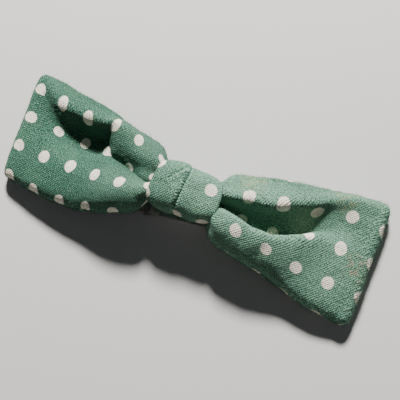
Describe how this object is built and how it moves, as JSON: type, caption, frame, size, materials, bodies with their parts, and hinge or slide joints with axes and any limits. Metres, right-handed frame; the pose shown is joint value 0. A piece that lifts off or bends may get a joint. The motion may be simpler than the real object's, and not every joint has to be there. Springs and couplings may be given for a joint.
{
  "type": "clip-on bow tie",
  "caption": "Pre-tied bow tie of spotted wool cloth: one folded and gathered band, a wrapped knot with a tuck, and a sprung metal collar clip behind.",
  "frame": {"origin": "on the surface that the tie lies on, below the middle of the knot", "axes": "+X along the bow to the viewer's right, +Y towards the top of the tie as worn, +Z out of its front"},
  "size_m": [0.122, 0.04, 0.0181],
  "materials": {
    "spotted_wool": "brushed matte",
    "interlining": "matte",
    "sewing_thread": "satin",
    "plated_steel": "worn nickel plate",
    "spring_steel": "drawn wire"
  },
  "bodies": {
    "tie": {"wing_band": "spotted_wool", "wing_interlining": "interlining", "gather_thread": "sewing_thread", "band_seam_thread": "sewing_thread", "knot_band": "spotted_wool", "knot_interlining": "interlining", "knot_seam_thread": "sewing_thread", "clip_base": "plated_steel", "left_hinge_pin": "spring_steel", "right_hinge_pin": "spring_steel", "left_spring": "spring_steel", "right_spring": "spring_steel", "left_clip_stitch": "sewing_thread", "right_clip_stitch": "sewing_thread"},
    "left_jaw_lever": {"left_jaw": "plated_steel"},
    "right_jaw_lever": {"right_jaw": "plated_steel"}
  },
  "joints": [
    {"name": "left_jaw_hinge", "type": "hinge", "parent": "tie", "child": "left_jaw_lever", "pos_m": [-0.01139, -0.0046, 0.0026], "axis": [0.1392, -0.9903, 0], "range_deg": [0, 18], "stiffness_Nm_per_rad": 0.02, "springref_deg": -2.86, "deforming": ["left_spring"]},
    {"name": "right_jaw_hinge", "type": "hinge", "parent": "tie", "child": "right_jaw_lever", "pos_m": [0.01139, -0.0014, 0.0026], "axis": [-0.1392, 0.9903, 0], "range_deg": [0, 18], "stiffness_Nm_per_rad": 0.02, "springref_deg": -2.86, "deforming": ["right_spring"]}
  ]
}
